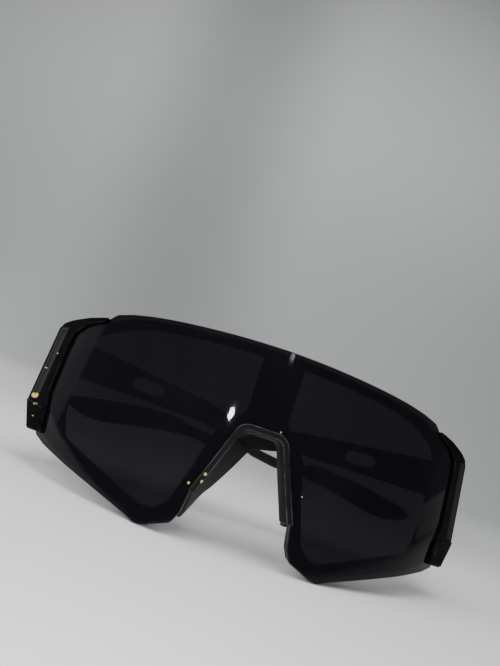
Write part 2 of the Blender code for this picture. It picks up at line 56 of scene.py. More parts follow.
STANCE_LEAN = radians(8.2)
FRONT_PLACE = Vector((0, -0.0268568, 0.0006720))
FOLD = {1: radians(90), -1: radians(86)}
SIDE_WORD = {-1: "left", 1: "right"}
BACK_OF_LENS = LENS_THICKNESS + FIT_GAP
BACK_OF_RIM = BACK_OF_LENS + RIM_THICKNESS

# Arms, measured from the hinge
ARM_LENGTH = 0.1310
ARM_HEIGHT = 0.0127
ARM_THICKNESS = 0.0030
ARM_OFFSET = 0.0018
ARM_BOW = 0.0030
ARM_BOW_START = 0.0650
ARM_CORNER_ROUND = 0.0010
SLOT_LENGTH = 0.0112
SLOT_HEIGHT = 0.0043
SLOT_SETBACK = 0.0295
SLOT_RISE = -0.0020
SLEEVE_WALL = 0.0009
SLEEVE_THICKNESS = 0.0038
TONGUE_ROOT = 0.00475
TONGUE_HALF_SHARE = 0.085

# Nose piece and pads
NOSE_WALL = 0.0010
NOSE_LIP = 0.0004
NOSE_LIP_REACH = 0.0003
NOSE_RIB = 0.0008
NOSE_RIB_REACH = 0.0009
NOSE_DEPTH = 0.0085
NOSE_LEG_DEPTH = 0.0065
NOSE_LEG_END = 0.0118
PAD_THICKNESS = 0.0015
PAD_DEPTH = 0.0155
PAD_DROP = 0.00265
PAD_FOOT = {-1: 0.0042, 1: 0.0105}

# How far edges are rounded over
LENS_EDGE = 0.00040
RIM_EDGE = 0.00050
ARM_EDGE = 0.00060
TONGUE_EDGE = 0.00020
SLEEVE_EDGE = 0.00130
RAIL_EDGE = 0.00018
NOSE_EDGE = 0.00016
PAD_EDGE = 0.00040
HOLDING_RING = 0.00006

# How finely shapes are cut
EDGE_STEPS = 3
CORNER_STEPS = 8
BEND_STEP = radians(1.75)
BOW_STEP = 0.0040
PAD_STATIONS = 13

# What counts as the same place, as flat and as sharp
SAME_PLACE = 0.000002
NEARLY_FLAT = radians(0.6)
SHARP_SHADING = radians(38)
SHARP_RAIL = radians(30)
SHARP_PAD = radians(40)
SHARP_NOSE = radians(50)
FACING = 0.99
SHORTEST_MITRE = 0.5
SHORTEST_SOFTENED = RAIL_EDGE * 4

# The lens and the rim's window, as shares of the lens's half width and height, and how far
# some of their corners are rounded
LENS_SHARES = [
    (0.000, 1.000), (0.204, 0.997), (0.350, 0.993), (0.490, 0.989), (0.598, 0.984),
    (0.692, 0.975), (0.768, 0.961), (0.797, 0.933), (0.803, 0.917), (0.904, 0.889),
    (0.978, 0.855), (1.000, 0.828), (1.000, 0.438), (0.985, 0.340), (0.958, 0.259),
    (0.932, 0.216), (0.872, 0.184), (0.736, 0.134), (0.598, 0.088), (0.481, 0.047),
    (0.398, 0.016), (0.364, 0.000), (0.332, 0.006), (0.236, 0.052), (0.213, 0.107),
    (0.200, 0.220), (0.144, 0.406), (0.093, 0.584), (0.000, 0.584),
]
LENS_CORNERS = {6: 0.0012, 11: 0.0012, 15: 0.0012, 21: 0.0020, 23: 0.0020, 27: 0.0038}
WINDOW_SHARES = [
    (0.093, 0.949), (0.350, 0.944), (0.554, 0.936), (0.685, 0.918), (0.765, 0.894),
    (0.868, 0.855), (0.918, 0.800), (0.923, 0.560), (0.900, 0.385), (0.838, 0.255),
    (0.615, 0.168), (0.390, 0.078), (0.322, 0.084), (0.277, 0.140), (0.236, 0.300),
    (0.190, 0.515), (0.090, 0.652),
]
WINDOW_CORNERS = {0: 0.0010, 6: 0.0030, 9: 0.0030, 11: 0.0030, 12: 0.0030, 16: 0.0030}

# The arm, its sleeve and its tongue, as shares of the arm's length and height. Near share
# 0.520 the upper edge is up to 0.7 mm above the solid's, so that no light shows under the
# saddle.
ARM_TOP_SHARES = [(0.206, 0.236), (0.382, 0.024), (0.430, -0.060), (0.520, -0.430),
                  (0.538, -0.580), (0.565, -0.780), (0.613, -0.840), (0.702, -0.770)]
ARM_BOTTOM_SHARES = [(0.702, -1.070), (0.613, -1.100), (0.545, -1.000), (0.500, -0.820),
                     (0.455, -0.720), (0.400, -0.560), (0.206, -0.528)]
ARM_END_SHARES = (-0.512, 0.488)
SLEEVE_SHARES = [
    (0.702, -0.700), (0.748, -0.680), (0.824, -0.740), (0.916, -0.880), (0.975, -1.010),
    (1.000, -1.140), (0.992, -1.270), (0.962, -1.400), (0.931, -1.450), (0.893, -1.430),
    (0.824, -1.280), (0.748, -1.140), (0.702, -1.100),
]
TONGUE_SHARES = [(0.702, -0.890), (0.838, -1.035)]

# How far each pad leans in from top to foot, as shares of its depth
PAD_LEANS = {-1: [0.45, 0.37, 0.28, 0.18, 0.04, -0.09],
             1: [-0.20, -0.22, -0.24, -0.26, -0.28, -0.30]}

# Finishes: two base tones, roughness where clean and where smudged, the grain's fineness and
# height, the amount of dust, and what differs from plain plastic
FINISHES = {
    "lens": {
        "name": "dark_lens", "tones": ((0.0045, 0.0040, 0.0060), (0.0060, 0.0056, 0.0075)),
        "rough": (0.035, 0.075), "grain": 120.0, "height": 0.0000015, "dust": 0.03,
        "specular": 0.2, "ior": 1.38, "scratch": 0.03, "alpha": 0.875,
    },
    "gloss": {
        "name": "gloss_black_plastic", "tones": ((0.005, 0.005, 0.006), (0.007, 0.007, 0.008)),
        "rough": (0.36, 0.44), "grain": 900.0, "height": 0.000002, "dust": 0.05,
        "edge_wear_and_highlight": (0.018, 0.018, 0.019), "specular": 0.3, "ior": 1.2,
    },
    # The two arms are one black plastic. The left arm's lighter tones are painted light.
    "arm_left": {
        "name": "arm_plastic_painted_lit",
        "tones": ((0.028, 0.030, 0.029), (0.034, 0.036, 0.035)),
        "rough": (0.36, 0.44), "grain": 1100.0, "height": 0.000004, "dust": 0.05,
        "specular": 0.4, "ior": 1.3,
    },
    # The right arm's darker tones are painted shade.
    "arm_right": {
        "name": "arm_plastic_painted_shaded", "tones": ((0.010, 0.011, 0.011), (0.014, 0.015, 0.015)),
        "rough": (0.36, 0.44), "grain": 1100.0, "height": 0.000004, "dust": 0.05,
        "specular": 0.4, "ior": 1.2,
    },
    "satin": {
        "name": "satin_black_plastic",
        "tones": ((0.0040, 0.0040, 0.0045), (0.006, 0.006, 0.007)),
        "rough": (0.34, 0.42), "grain": 1300.0, "height": 0.000006, "dust": 0.05,
        "edge_wear_and_highlight": (0.022, 0.022, 0.023), "ior": 1.03,
    },
    # The saddle's lighter edge colour is a painted highlight along its rounded edges.
    "saddle": {
        "name": "saddle_rubber", "tones": ((0.0085, 0.0085, 0.009), (0.0105, 0.0105, 0.011)),
        "rough": (0.62, 0.72), "grain": 2200.0, "height": 0.000010, "dust": 0.04,
        "edge_wear_and_highlight": (0.085, 0.085, 0.088), "specular": 0.06,
    },
    "grey": {
        "name": "soft_grey_rubber", "tones": ((0.021, 0.021, 0.022), (0.025, 0.025, 0.026)),
        "rough": (0.58, 0.66), "grain": 2200.0, "height": 0.000010, "dust": 0.04,
        "edge_wear_and_highlight": (0.040, 0.040, 0.042), "specular": 0.15,
    },
    "rubber": {
        "name": "black_rubber", "tones": ((0.012, 0.012, 0.013), (0.016, 0.016, 0.016)),
        "rough": (0.55, 0.66), "grain": 1800.0, "height": 0.000016, "dust": 0.05,
        "specular": 0.3,
    },
    "steel": {
        "name": "hinge_metal", "tones": ((0.50, 0.50, 0.51), (0.42, 0.42, 0.43)),
        "rough": (0.24, 0.36), "grain": 1500.0, "height": 0.000004, "dust": 0.0,
        "metallic": 1.0,
    },
}

# Patterns that the finishes share. Peaks are where a mask starts and where it is full.
SMUDGE_SCALE = 70.0
DUST_SCALE = 420.0
EDGE_MARK_SCALE = 240.0
PITS_SHARE = 0.35
SPECK_REACH = 0.09
SMUDGE_PEAKS = (0.46, 0.72)
EDGE_MARK_PEAKS = (0.30, 0.62)
HAIRLINE_PEAKS = (0.70, 0.76)
DUST_COLOUR = (0.30, 0.30, 0.28)

# Two sets of hairline scratches: how each is turned, and its fineness along each axis
HAIRLINES = (
    ((0.2, 0.5, 0.4), (2600.0, 70.0, 55.0)),
    ((0.2, -1.1, 0.4), (3100.0, 70.0, 55.0)),
)

# The strip down the end pieces in the flat drawing. Each pair is where the strip starts and
# where it is full: from the outer edge, up from the lens's corners, and in depth.
STRIP_COLOUR = (0.030, 0.031, 0.032)
STRIP_OUTER = (0.0009, 0.0012)
STRIP_INNER = (0.0048, 0.0045)
STRIP_FOOT = (0.0220, 0.0224)
STRIP_HEAD = (0.0476, 0.0470)
STRIP_DEPTH = (0.0008, 0.0004)

# The shade on the pads, and the heights where it starts and is full
WING_SHADE = (0.009, 0.009, 0.010)
WING_SHADE_HEIGHTS = (0.016, 0.028)

# Small gold and white spots laid over the front's colour: centre, reach and colour. Those on
# the end piece are placed in the flat drawing, the others in the row's space.
FLECK_FADE = (1.0, 0.7)
GOLD = (0.76, 0.55, 0.17)
DULL_GOLD = (0.42, 0.38, 0.13)
PALE = (0.40, 0.40, 0.38)
RAIL_FLECKS = [
    ((-0.0704, 0.0233, -0.0008), (0.0020, 0.0010, 0.0025), GOLD),
    ((-0.0680, 0.0207, -0.0008), (0.0009, 0.0005, 0.0025), (0.24, 0.24, 0.11)),
    ((-0.0663, 0.0170, -0.0008), (0.0005, 0.00022, 0.0025), PALE),
    ((-0.0686, 0.0380, -0.0008), (0.0005, 0.00022, 0.0025), PALE),
    ((-0.0715, 0.0328, -0.0008), (0.0005, 0.00022, 0.0025), PALE),
]
LOOSE_FLECKS = [
    ("lens", (-0.0148, -0.0237, 0.0140), 0.00042, DULL_GOLD),
    ("saddle", (-0.0114, -0.0244, 0.0175), 0.00048, DULL_GOLD),
    ("saddle", (-0.0116, -0.0247, 0.0155), 0.00048, DULL_GOLD),
    ("lens", (0.0043, -0.0220, 0.0338), 0.00028, PALE),
    ("lens", (0.0147, -0.0229, 0.0197), 0.00022, PALE),
]

# The camera as fitted to the photo, in the upright front's own space: its axes, how far the
# fit's origin lies along each of them, and how high that origin lies. Then the photo's focal
# length and height in pixels.
CAMERA_RIGHT = Vector((0.9455, -0.1043, 0.3086))
CAMERA_DOWN = Vector((0.3255, 0.2649, -0.9077))
CAMERA_AHEAD = Vector((0.0130, 0.9586, 0.2844))
CAMERA_SHIFT = Vector((0.00364, 0.02725, 0.13388))
FIT_HEIGHT = 0.0314
PHOTO_FOCAL = 500
PHOTO_HEIGHT = 666
SENSOR_HEIGHT = 36

# The backdrop's shape, and its tones with where each starts and is full. The greyer tone
# further back is painted shade, the lighter tone up the wall is painted light, and the darker
# band down the middle is painted shade.
FLOOR_REACH = 3.0
TURN_START = 0.55
TURN_RADIUS = 0.5
TURN_STEPS = 24
WALL_TOP = 3.0
FLOOR_TONES = ((0.78, 0.79, 0.765), (0.83, 0.84, 0.815))
FAR_SHADE_TONE = (0.46, 0.47, 0.47)
FAR_SHADE_SLANT = 0.6
FAR_SHADE_FADE = (-0.25, 0.60)
WALL_LIGHT_TONE = (0.60, 0.61, 0.61)
WALL_LIGHT_FADE = (0.15, 0.90)
SHADE_BAND_TONE = (0.20, 0.205, 0.205)
SHADE_BAND_SLANT = 0.29
SHADE_BAND_MIDDLE = 0.075
SHADE_BAND_FADE = (0.32, 0.02)
SHADE_BAND_START = (0.02, 0.20)
SHADE_BAND_STRENGTH = 0.5

# Where the weak lamps stand or point
FLASH_PLACE = Vector((-0.0383, -0.147, 0.0531))
FILL_PLACE = Vector((-0.018, -0.140, 0.020))
FLASH_GLINT = (-0.0100, 0.0370)
BROW = (0.001, -0.019, 0.054)
MIDDLE = (0, 0, 0.03)


# Outlines

def rounded(corners, radii):
    """The closed outline with an arc in place of each corner that has a radius."""
    outline = []
    for index, corner in enumerate(corners):
        here = Vector(corner)
        radius = radii.get(index, 0)
        if not radius:
            outline.append(here)
            continue
        back = Vector(corners[index - 1]) - here
        ahead = Vector(corners[(index + 1) % len(corners)]) - here
        half = back.angle(ahead) / 2
        reach = min(radius / tan(half), back.length / 2, ahead.length / 2)
        back.normalize()
        ahead.normalize()
        arc = reach * tan(half)
        centre = here + (back + ahead).normalized() * arc / sin(half)
        first = here + back * reach - centre
        last = here + ahead * reach - centre
        for step in range(CORNER_STEPS + 1):
            spoke = first.lerp(last, step / CORNER_STEPS).normalized() * arc
            outline.append(centre + spoke)
    return outline


def offset(outline, distance):
    """The closed outline moved outwards; a negative distance moves it in."""
    turn = sum(a.cross(b) for a, b in zip(outline, outline[1:] + outline[:1]))
    side = 1 if turn > 0 else -1
    moved = []
    for index, here in enumerate(outline):
        before = (here - outline[index - 1]).normalized()
        after = (outline[(index + 1) % len(outline)] - here).normalized()
        normal_before = Vector((before.y, -before.x)) * side
        normal_after = Vector((after.y, -after.x)) * side
        middle = (normal_before + normal_after).normalized()
        mitre = max(middle.dot(normal_after), SHORTEST_MITRE)
        moved.append(here + middle * distance / mitre)
    return moved


def sized(shares, width, height, corners):
    """An outline from shares of a width and a height, with its corners rounded."""
    return rounded([(x * width, z * height) for x, z in shares], corners)


def mirrored(outline):
    return [Vector((-point.x, point.y)) for point in reversed(outline)]


def lens_half():
    return sized(LENS_SHARES, LENS_HALF_WIDTH, LENS_HEIGHT, LENS_CORNERS)


def lens_outline():
    half = lens_half()
    return half + [Vector((-point.x, point.y)) for point in reversed(half) if point.x > 0]


# Places

def to_world(point):
    """From the front's own space, x across, y back, z up, to the row's."""
    return Matrix.Rotation(-STANCE_LEAN, 3, "X") @ point + FRONT_PLACE


def bend(x, z, depth):
    """A point of the flat drawing, at a depth behind the lens's face, on the bent front."""
    angle = asin(max(-1, min(1, x / LENS_RADIUS)))
    radius = LENS_RADIUS - depth
    return to_world(Vector((radius * sin(angle), LENS_RADIUS - radius * cos(angle), z)))


def unbend(point):
    """The flat x, z and depth of a point of the bent front."""
    own = Matrix.Rotation(STANCE_LEAN, 3, "X") @ (point - FRONT_PLACE)
    angle = atan2(own.x, LENS_RADIUS - own.y)
    return LENS_RADIUS * sin(angle), own.z, LENS_RADIUS - hypot(own.x, LENS_RADIUS - own.y)


def arm_point(side, along, up, out):
    """A point of the folded arm: along it from the hinge, up, and out from the head."""
    bow = max(0, (along - ARM_BOW_START) / (ARM_LENGTH - ARM_BOW_START))
    open_arm = Vector((side * (out - ARM_BOW * bow ** 2), along, up))
    pivot = Vector((side * HINGE_INBOARD, HINGE_DEPTH, HINGE_HEIGHT))
    return to_world(pivot + Matrix.Rotation(side * FOLD[side], 3, "Z") @ open_arm)


# Meshes

def flat_face(outline, holes):
    """A filled outline with holes, at z = 0."""
    bm = bmesh.new()
    for loop in [outline, *holes]:
        points = [bm.verts.new((point.x, point.y, 0)) for point in loop]
        for index, point in enumerate(points):
            bm.edges.new((points[index - 1], point))
    bmesh.ops.triangle_fill(bm, use_beauty=True, edges=bm.edges[:])
    return bm


def round_over(bm, way, edge):
    """Rounds one flat side's rim by insets that rise, then adds a narrow flat ring."""
    bm.normal_update()
    faces = [face for face in bm.faces if face.normal.z * way > FACING]
    turns = [pi / 2 * step / EDGE_STEPS for step in range(EDGE_STEPS + 1)]
    for here, there in zip(turns, turns[1:]):
        bmesh.ops.inset_region(bm, faces=faces, use_boundary=True, use_even_offset=False,
                               thickness=edge * (cos(here) - cos(there)),
                               depth=edge * (sin(there) - sin(here)))
    bmesh.ops.inset_region(bm, faces=faces, use_boundary=True, use_even_offset=False,
                           thickness=HOLDING_RING)


def plate(outline, holes, thickness, edge):
    """A flat plate with rounded edges, from z = 0 up to its thickness."""
    bm = flat_face(outline, holes)
    grown = bmesh.ops.extrude_face_region(bm, geom=bm.faces[:])["geom"]
    moved = [item for item in grown if isinstance(item, bmesh.types.BMVert)]
    bmesh.ops.translate(bm, verts=moved, vec=(0, 0, thickness - edge * 2))
    bmesh.ops.translate(bm, verts=bm.verts[:], vec=(0, 0, edge))
    bmesh.ops.recalc_face_normals(bm, faces=bm.faces[:])
    for way in (1, -1):
        round_over(bm, way, edge)
    return bm


def cut_strips(bm, places):
    """Cuts the plate across at each place along x, so that it can be bent there."""
    for place in places:
        everything = bm.verts[:] + bm.edges[:] + bm.faces[:]
        bmesh.ops.bisect_plane(bm, geom=everything, plane_co=(place, 0, 0),
                               plane_no=(1, 0, 0))


def bend_round_face(bm, front):
    """Bends a plate round the front's cylinder, its outer side at a depth behind the lens."""
    reach = max(abs(point.co.x) for point in bm.verts)
    steps = int(asin(min(1, reach / LENS_RADIUS)) / BEND_STEP) + 1
    cut_strips(bm, [LENS_RADIUS * sin(step * BEND_STEP) for step in range(-steps, steps + 1)])
    for point in bm.verts:
        point.co = bend(point.co.x, point.co.y, front + point.co.z)


def fold_arm(bm, side, thickness):
    """Bows a plate of the arm in towards its end and folds it as it lies at rest."""
    inner = ARM_OFFSET + (ARM_THICKNESS - thickness) / 2
    last = max(point.co.x for point in bm.verts)
    count = int((last - ARM_BOW_START) / BOW_STEP) + 1
    cut_strips(bm, [ARM_BOW_START + step * BOW_STEP for step in range(count)])
    for point in bm.verts:
        along, up, out = point.co
        point.co = arm_point(side, along, up, inner + out)


def sweep(stations):
    """A closed bar through stations, each a ring of the same number of points."""
    bm = bmesh.new()
    rings = []
    for station in stations:
        points = [bm.verts.new(place) for place in station]
        rings.append([bm.edges.new((points[index - 1], point))
                      for index, point in enumerate(points)])
    for first, second in zip(rings, rings[1:]):
        bmesh.ops.bridge_loops(bm, edges=first + second)
    for end in (rings[0], rings[-1]):
        bmesh.ops.contextual_create(bm, geom=end)
    bmesh.ops.recalc_face_normals(bm, faces=bm.faces[:])
    return bm


def soften(bm, edge, sharper_than, segments=2, longer_than=0):
    """Rounds every edge that turns more than an angle, and marks the faces made there."""
    marks = bm.faces.layers.float.get("edge") or bm.faces.layers.float.new("edge")
    bm.normal_update()
    found = [item for item in bm.edges
             if len(item.link_faces) == 2 and item.calc_face_angle(0) > sharper_than
             and item.calc_length() > longer_than]
    made = bmesh.ops.bevel(bm, geom=found, offset=edge, offset_type="OFFSET",
                           segments=segments, profile=0.5, affect="EDGES", material=-1,
                           clamp_overlap=not longer_than)
    for face in made["faces"]:
        face[marks] = 1


def finish_piece(name, bm, body, node, look):
    """A piece at rest in the row's space that stands for a CAD node."""
    bmesh.ops.dissolve_degenerate(bm, dist=SAME_PLACE, edges=bm.edges[:])
    bmesh.ops.recalc_face_normals(bm, faces=bm.faces[:])
    if bm.calc_volume(signed=True) < 0:
        bmesh.ops.reverse_faces(bm, faces=bm.faces[:])
    for face in bm.faces:
        face.smooth = True
    for edge in bm.edges:
        if len(edge.link_faces) == 2 and edge.calc_face_angle(0) > SHARP_SHADING:
            edge.smooth = False
    mesh = bpy.data.meshes.new(name)
    bm.to_mesh(mesh)
    bm.free()
    made = bpy.data.objects.new(name, mesh)
    bpy.context.scene.collection.objects.link(made)
    mesh.materials.append(look)
    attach(made, body)
    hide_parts(node)
    return made


# Pieces

def make_lens(looks):
    bm = plate(lens_outline(), [], LENS_THICKNESS, LENS_EDGE)
    bend_round_face(bm, 0)
    made = finish_piece("tinted_shield", bm, "front", "shield_lens",
                        looks["lens"])
    true_normals(made.data)


def true_normals(mesh):
    """Gives the lens's broad sides the exact normals of the cylinder it is bent round."""
    normals = []
    for point in mesh.vertices:
        x, z, depth = unbend(point.co)
        outward = (bend(x, z, 0) - bend(x, z, LENS_THICKNESS)).normalized()
        if abs(depth) < SAME_PLACE:
            normals.append(outward)
        elif abs(depth - LENS_THICKNESS) < SAME_PLACE:
            normals.append(-outward)
        else:
            normals.append(point.normal.copy())
    mesh.normals_split_custom_set_from_vertices(normals)


def make_rim(looks):
    window = sized(WINDOW_SHARES, LENS_HALF_WIDTH, LENS_HEIGHT, WINDOW_CORNERS)
    outline = offset(lens_outline(), -RIM_INSET)
    bm = plate(outline, [window, mirrored(window)], RIM_THICKNESS, RIM_EDGE)
    bend_round_face(bm, BACK_OF_LENS)
    finish_piece("eye_rim", bm, "front", "front_rim", looks["gloss"])


def mark_flat_places(bm):
    """Keeps each point's flat x, height and depth for the finish."""
    marks = bm.verts.layers.float_vector.new("flat")
    for point in bm.verts:
        point[marks] = Vector(unbend(point.co))


def make_rail(side, looks):
    """The end piece's solid with softened edges and a satin strip down its face."""
    word = SIDE_WORD[side]
    bm = bmesh.new()
    bm.from_mesh(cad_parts[f"side_rail_{word}"].data)
    bmesh.ops.remove_doubles(bm, verts=bm.verts[:], dist=SAME_PLACE)
    bmesh.ops.dissolve_limit(bm, angle_limit=NEARLY_FLAT, verts=bm.verts[:],
                             edges=bm.edges[:])
    soften(bm, RAIL_EDGE, SHARP_RAIL, longer_than=SHORTEST_SOFTENED)
    mark_flat_places(bm)
    made = finish_piece(f"end_piece_{word}", bm, "front", f"side_rail_{word}",
                        looks["satin"])
    even = made.modifiers.new("even_shading", "WEIGHTED_NORMAL")
    even.keep_sharp = True


def notch_path(foot):
    """The middle of the brow down the right side of the nose notch, ending at a height."""
    path = []
    for point in reversed(lens_half()):
        if point.y > foot:
            path.append(point)
            continue
        before = path[-1]
        path.append(before.lerp(point, (before.y - foot) / (before.y - point.y)))
        break
    return path


def path_normals(path):
    """For each point of the notch's right side, the way into the lens, away from the nose."""
    normals = []
    last = len(path) - 1
    for index in range(len(path)):
        run = path[min(index + 1, last)] - path[max(index - 1, 0)]
        normals.append(Vector((-run.y, run.x)).normalized())
    return normals


def nose_section(depth):
    """The nose piece's section: each point's way out from the notch's edge and its depth."""
    rib = BACK_OF_RIM + FIT_GAP
    seat = -FIT_GAP
    face = seat - NOSE_LIP
    return [(NOSE_LIP_REACH, face), (NOSE_LIP_REACH, seat), (seat, seat), (seat, rib),
            (NOSE_RIB_REACH, rib), (NOSE_RIB_REACH, rib + NOSE_RIB),
            (seat, rib + NOSE_RIB), (seat, depth), (seat - NOSE_WALL, depth),
            (seat - NOSE_WALL, face)]


def make_nose_piece(looks):
    """The saddle that lines the notch: a lip over the lens and a rib behind the rim."""
    right = notch_path(NOSE_LEG_END)
    ways = path_normals(right)
    ways[0] = Vector((0, 1))
    left = [Vector((-point.x, point.y)) for point in reversed(right[1:])]
    left_ways = [Vector((-way.x, way.y)) for way in reversed(ways[1:])]
    top = right[0].y
    stations = []
    for point, way in zip(left + right, left_ways + ways):
        part = (top - point.y) / (top - NOSE_LEG_END)
        section = nose_section(NOSE_DEPTH + (NOSE_LEG_DEPTH - NOSE_DEPTH) * part)
        spots = [(point + way * out, depth) for out, depth in section]
        stations.append([bend(spot.x, spot.y, depth) for spot, depth in spots])
    bm = sweep(stations)
    soften(bm, NOSE_EDGE, SHARP_NOSE)
    finish_piece("nose_saddle", bm, "front", "nose_piece", looks["saddle"])


def point_at_height(path, height):
    """The point of a path that runs down, where it passes a height, or else its end."""
    for before, after in zip(path, path[1:]):
        if before.y >= height > after.y:
            return before.lerp(after, (before.y - height) / (before.y - after.y))
    return path[-1]


def lean_at(side, part):
    """How far the pad leans in, between the places where its lean is given."""
    leans = PAD_LEANS[side]
    place = part * (len(leans) - 1)
    index = min(int(place), len(leans) - 2)
    share = leans[index] + (leans[index + 1] - leans[index]) * (place - index)
    return share * PAD_DEPTH


def make_pad(side, looks):
    """A soft wing behind the rim, hooked outside the nose piece's wall."""
    word = SIDE_WORD[side]
    bridge = LENS_HEIGHT * LENS_SHARES[-1][1]
    start = notch_path(bridge - PAD_DROP)[-1].y
    full = notch_path(PAD_FOOT[side])
    end = full[-1].y
    parts = [step / (PAD_STATIONS - 1) for step in range(PAD_STATIONS)]
    path = [point_at_height(full, start + (end - start) * part) for part in parts]
    ways = [Vector((side * way.x, way.y)) for way in path_normals(path)]
    ways[0] = ways[1]
    near = BACK_OF_RIM + FIT_GAP * 2 + NOSE_RIB
    stations = []
    for part, point, way in zip(parts, path, ways):
        lean = lean_at(side, part)
        section = [(0, near), (PAD_THICKNESS, near), (PAD_THICKNESS - lean, PAD_DEPTH),
                   (-lean, PAD_DEPTH), (0, NOSE_DEPTH + FIT_GAP)]
        own = Vector((side * point.x, point.y))
        spots = [(own + way * out, depth) for out, depth in section]
        stations.append([bend(spot.x, spot.y, depth) for spot, depth in spots])
    bm = sweep(stations)
    soften(bm, PAD_EDGE, SHARP_PAD, segments=3)
    finish_piece(f"nose_wing_{word}", bm, "front", f"nose_pad_{word}",
                 looks["grey"])


def arm_places(shares):
    return [Vector((along * ARM_LENGTH, up * ARM_HEIGHT)) for along, up in shares]


def slot_outline():
    """The oblong slot in the arm: a straight middle and two round ends."""
    radius = SLOT_HEIGHT / 2
    run = SLOT_LENGTH / 2 - radius
    fall = (ARM_TOP_SHARES[0][1] - ARM_END_SHARES[1]) * ARM_HEIGHT / 2
    tilt = fall / (ARM_TOP_SHARES[0][0] * ARM_LENGTH)
    points = []
    for end in (1, -1):
        for step in range(CORNER_STEPS * 2 + 1):
            angle = pi * (step / (CORNER_STEPS * 2) - 0.5)
            along = end * (run + radius * cos(angle))
            up = end * radius * sin(angle)
            points.append(Vector((SLOT_SETBACK + along, SLOT_RISE + up + along * tilt)))
    return points


def tongue_outline():
    """The thin bar inside the sleeve, rooted a little inside the arm."""
    start, end = arm_places(TONGUE_SHARES)
    across = (end - start).normalized()
    up = Vector((-across.y, across.x)) * TONGUE_HALF_SHARE * ARM_HEIGHT
    root = Vector((TONGUE_ROOT, 0))
    return [start - root - up, end - up, end + up, start - root + up]


def make_arm(side, looks):
    """The arm with its oblong slot, and the thin tongue that its sleeve grips."""
    word = SIDE_WORD[side]
    ends = [Vector((FIT_GAP, share * ARM_HEIGHT)) for share in ARM_END_SHARES]
    corners = [*ends, *arm_places(ARM_TOP_SHARES), *arm_places(ARM_BOTTOM_SHARES)]
    outline = rounded(corners, {0: ARM_CORNER_ROUND, 1: ARM_CORNER_ROUND})
    bm = plate(outline, [slot_outline()], ARM_THICKNESS, ARM_EDGE)
    fold_arm(bm, side, ARM_THICKNESS)
    thin = SLEEVE_THICKNESS - (SLEEVE_WALL + FIT_GAP) * 2
    tongue = plate(tongue_outline(), [], thin, TONGUE_EDGE)
    fold_arm(tongue, side, thin)
    joined = bpy.data.meshes.new("tongue")
    tongue.to_mesh(joined)
    tongue.free()
    bm.from_mesh(joined)
    bpy.data.meshes.remove(joined)
    finish_piece(f"arm_{word}", bm, f"arm_{word}", f"temple_{word}",
                 looks[f"arm_{word}"])


def make_sleeve(side, looks):
    """The soft sleeve over the end of the arm, pillowed to a rounded edge."""
    word = SIDE_WORD[side]
    start = ARM_LENGTH * ARM_TOP_SHARES[-1][0] + FIT_GAP
    corners = arm_places(SLEEVE_SHARES)
    for point in corners:
        point.x = max(point.x, start)
    bm = plate(corners, [], SLEEVE_THICKNESS, SLEEVE_EDGE)
    fold_arm(bm, side, SLEEVE_THICKNESS)
    finish_piece(f"ear_sleeve_{word}", bm, f"arm_{word}", f"temple_sleeve_{word}",
                 looks["rubber"])


# Node groups and materials

def new_group(name, inputs, outputs):
    made = bpy.data.node_groups.new(name, "ShaderNodeTree")
    for label, value in inputs.items():
        socket = made.interface.new_socket(name=label, in_out="INPUT",
                                           socket_type="NodeSocketFloat")
        socket.default_value = value
    for label in outputs:
        made.interface.new_socket(name=label, in_out="OUTPUT", socket_type="NodeSocketFloat")
    return made, made.nodes.new("NodeGroupInput"), made.nodes.new("NodeGroupOutput")


def put(tree, kind, values=None, **settings):
    """A node with its settings, and its inputs set to values or linked to sockets."""
    made = tree.nodes.new(kind)
    for name, value in settings.items():
        setattr(made, name, value)
    for key, value in (values or {}).items():
        if isinstance(value, bpy.types.NodeSocket):
            tree.links.new(value, made.inputs[key])
        else:
            made.inputs[key].default_value = value
    return made


def calc(tree, operation, first, second=0.0):
    return put(tree, "ShaderNodeMath", {0: first, 1: second}, operation=operation).outputs[0]


def between(tree, value, low, high):
    """0 up to low and 1 from high on; a share that falls has the larger one as low."""
    return put(tree, "ShaderNodeMapRange", {"Value": value, "From Min": low, "From Max": high},
               interpolation_type="SMOOTHSTEP").outputs[0]


def object_place(tree):
    return put(tree, "ShaderNodeTexCoord").outputs["Object"]


def parts_of(tree, place):
    """The three axes of a place, as sockets."""
    return put(tree, "ShaderNodeSeparateXYZ", {0: place}).outputs


def blend_colour(tree, share, first, second):
    """first where share is 0 and second where it is 1; first may be a socket."""
    made = put(tree, "ShaderNodeMix", data_type="RGBA")
    tree.links.new(share, made.inputs["Factor"])
    if isinstance(first, bpy.types.NodeSocket):
        tree.links.new(first, made.inputs[6])
    else:
        made.inputs[6].default_value = (*first, 1)
    made.inputs[7].default_value = (*second, 1)
    return made.outputs[2]


def moulded_grain():
    """The fine skin of moulded plastic or rubber, as a height from 0 to 1."""
    made, source, result = new_group("moulded_grain", {"Scale": 900.0}, ["Height"])
    place = object_place(made)
    fine = put(made, "ShaderNodeTexNoise", {"Vector": place, "Scale": source.outputs["Scale"],
                                            "Detail": 3.0, "Roughness": 0.6})
    pits = put(made, "ShaderNodeTexVoronoi", {"Vector": place,
                                              "Scale": source.outputs["Scale"]},
               feature="SMOOTH_F1")
    low = calc(made, "MULTIPLY", pits.outputs["Distance"], PITS_SHARE)
    high = calc(made, "MULTIPLY", fine.outputs[0], 1 - PITS_SHARE)
    made.links.new(calc(made, "ADD", high, low), result.inputs["Height"])
    return made


